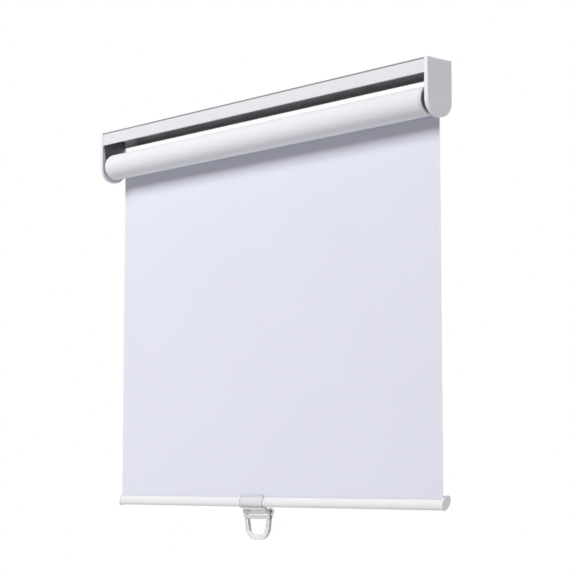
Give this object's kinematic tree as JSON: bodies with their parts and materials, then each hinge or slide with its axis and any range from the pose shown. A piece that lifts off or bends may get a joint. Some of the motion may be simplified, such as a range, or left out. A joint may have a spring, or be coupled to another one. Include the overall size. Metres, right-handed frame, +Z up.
{
  "type": "roller shade",
  "caption": "Cordless spring roller shade: cloth on a roller under a channel headrail, hung off the back of the roll to an oval bottom rail with a clip-on pull ring.",
  "frame": {"origin": "centre of the headrail's flat top face, which is screwed up against a ceiling or lintel", "axes": "+X along the headrail to the right end as seen from the room, +Y away from the room towards the window, +Z up"},
  "size_m": [0.61, 0.0501, 0.543],
  "materials": {
    "white_channel": "smooth satin white powder coat on extruded aluminium",
    "white_rail": "smooth satin white powder coat on extruded aluminium",
    "cap_plastic": "fine satin white moulding",
    "dark_steel": "dark grey phosphated pressed steel",
    "zinc_steel": "zinc-plated pressed steel",
    "spring_steel": "drawn spring wire, oiled",
    "tube_alloy": "mill-finish extrusion",
    "natural_nylon": "natural nylon moulding",
    "dark_plastic": "dark grey glass-filled moulding",
    "shade_fabric": "close-woven coated polyester, cool white",
    "clear_plastic": "clear polycarbonate moulding"
  },
  "bodies": {
    "headrail": {"headrail": "white_channel", "end_cap_left": "cap_plastic", "end_cap_right": "cap_plastic", "bracket_left": "dark_steel", "bracket_right": "dark_steel", "bracket_screws": "dark_steel", "pin_bearing": "natural_nylon", "shaft_socket": "dark_plastic", "spring_shaft": "zinc_steel", "shaft_clip": "spring_steel", "brake_hub": "dark_plastic", "spring_anchor": "natural_nylon", "torsion_spring": "spring_steel", "shade_cloth": "shade_fabric"},
    "roller": {"roller_tube": "tube_alloy", "cloth_spline": "natural_nylon", "fabric_roll": "shade_fabric", "end_plug_right": "dark_plastic", "end_ring_right": "natural_nylon", "end_plug_left": "natural_nylon", "drive_plug": "natural_nylon", "brake_cover": "dark_plastic", "wrap_spring": "spring_steel", "idle_spring": "spring_steel"},
    "idle_pin": {"idle_pin": "zinc_steel"},
    "bottom_rail": {"bottom_rail": "white_rail", "hem_rod": "natural_nylon", "rail_cap_left": "cap_plastic", "rail_cap_right": "cap_plastic", "pull_clip": "clear_plastic"},
    "pull_ring": {"pull_ring": "clear_plastic"}
  },
  "joints": [
    {"name": "roller_spin", "type": "hinge", "parent": "headrail", "child": "roller", "pos_m": [0, 0, -0.0457], "axis": [1, 0, 0], "range_deg": [-4446, 1440], "deforming": ["torsion_spring"]},
    {"name": "rail_travel", "type": "slide", "parent": "headrail", "child": "bottom_rail", "axis": [0, 0, 1], "range_m": [-1.327, 0.43], "deforming": ["shade_cloth"]},
    {"name": "idle_pin_push", "type": "slide", "parent": "roller", "child": "idle_pin", "axis": [1, 0, 0], "range_m": [0, 0.0044], "stiffness_N_per_m": 900, "springref_m": -0.004, "deforming": ["idle_spring"]},
    {"name": "ring_swing", "type": "hinge", "parent": "bottom_rail", "child": "pull_ring", "pos_m": [-0.0297, 0.0257, -0.508], "axis": [-1, 0, 0], "range_deg": [-90, 75]}
  ],
  "couplings": [
    {"joint": "rail_travel", "follows": "roller_spin", "m_per_rad": 0.0171}
  ]
}
